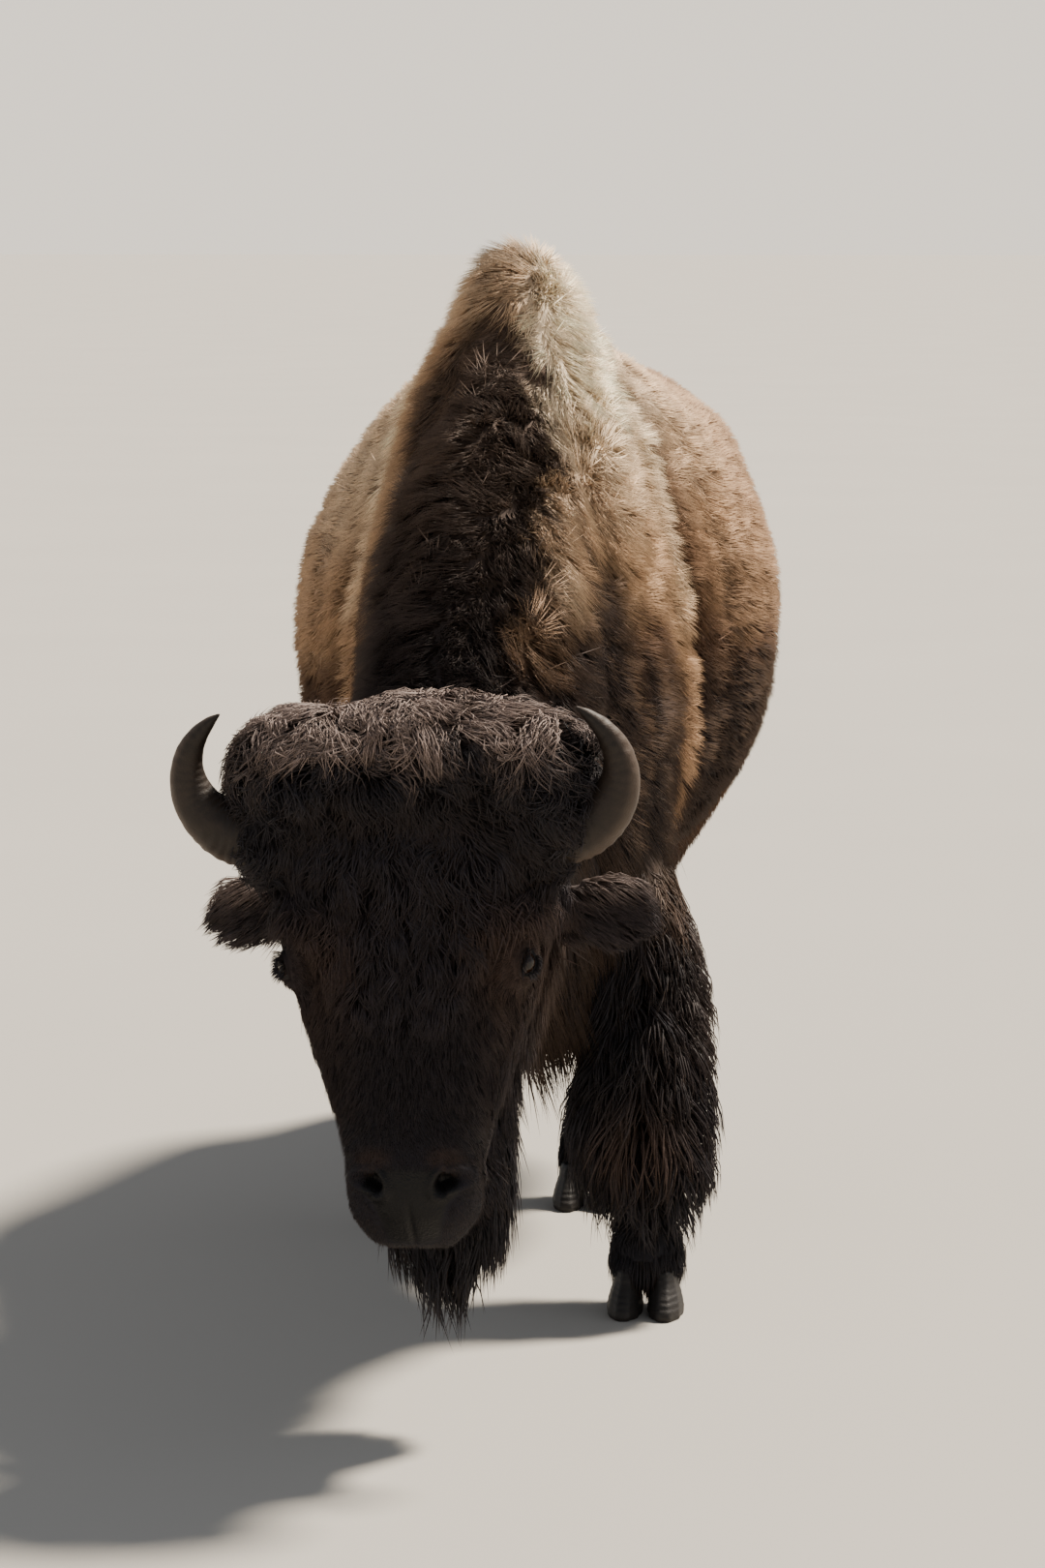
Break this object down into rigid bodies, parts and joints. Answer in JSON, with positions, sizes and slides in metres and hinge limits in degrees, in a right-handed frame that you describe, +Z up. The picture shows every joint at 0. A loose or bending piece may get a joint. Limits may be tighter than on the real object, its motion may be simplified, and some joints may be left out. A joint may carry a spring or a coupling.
{
  "type": "american bison bull",
  "caption": "Life-size American bison bull, walking slowly with its woolly head held low, standing on its hooves; a still model.",
  "frame": {"origin": "on the floor, under the middle of the animal's box", "axes": "+Z up, -Y the way the animal faces, +X its left side"},
  "size_m": [0.8752, 2.8246, 1.7206],
  "materials": {
    "goldenWool": "dense matted wool of the hump and shoulders, golden tan, matt",
    "brownCoat": "shorter brown coat of barrel, rump and thighs, matt",
    "darkMane": "long dark brown hair of neck, beard, chaps and tail tuft, matt",
    "crownWool": "long dark wool on the crown, greyer at the tips, matt",
    "faceCoat": "short very dark brown face coat, matt",
    "noseSkin": "bare black nose skin among short dark hair, slightly moist",
    "horn": "grey-brown horn, dull with a lighter worn rim",
    "hoof": "dark grey-brown hoof horn, dull",
    "eye": "wet dark brown eye, glossy"
  },
  "bodies": {
    "root": {"foreleg_left_forearm": "darkMane", "foreleg_left_shank": "darkMane", "foreleg_left_claw_left": "hoof", "foreleg_left_dewclaw_left": "hoof", "foreleg_left_claw_right": "hoof", "foreleg_left_dewclaw_right": "hoof", "foreleg_right_forearm": "darkMane", "foreleg_right_shank": "darkMane", "foreleg_right_claw_left": "hoof", "foreleg_right_dewclaw_left": "hoof", "foreleg_right_claw_right": "hoof", "foreleg_right_dewclaw_right": "hoof", "hindleg_left_thigh": "brownCoat", "hindleg_left_shank": "darkMane", "hindleg_left_claw_left": "hoof", "hindleg_left_dewclaw_left": "hoof", "hindleg_left_claw_right": "hoof", "hindleg_left_dewclaw_right": "hoof", "hindleg_right_thigh": "brownCoat", "hindleg_right_shank": "darkMane", "hindleg_right_claw_left": "hoof", "hindleg_right_dewclaw_left": "hoof", "hindleg_right_claw_right": "hoof", "hindleg_right_dewclaw_right": "hoof", "hump_and_shoulders": "goldenWool", "barrel": "brownCoat", "rump": "brownCoat", "neck": "darkMane", "head": "faceCoat", "muzzle": "noseSkin", "horn_left": "horn", "ear_left": "faceCoat", "eye_left": "eye", "horn_right": "horn", "ear_right": "faceCoat", "eye_right": "eye", "crown": "crownWool", "beard": "darkMane", "tail": "brownCoat", "tail_tuft": "darkMane"}
  },
  "joints": []
}
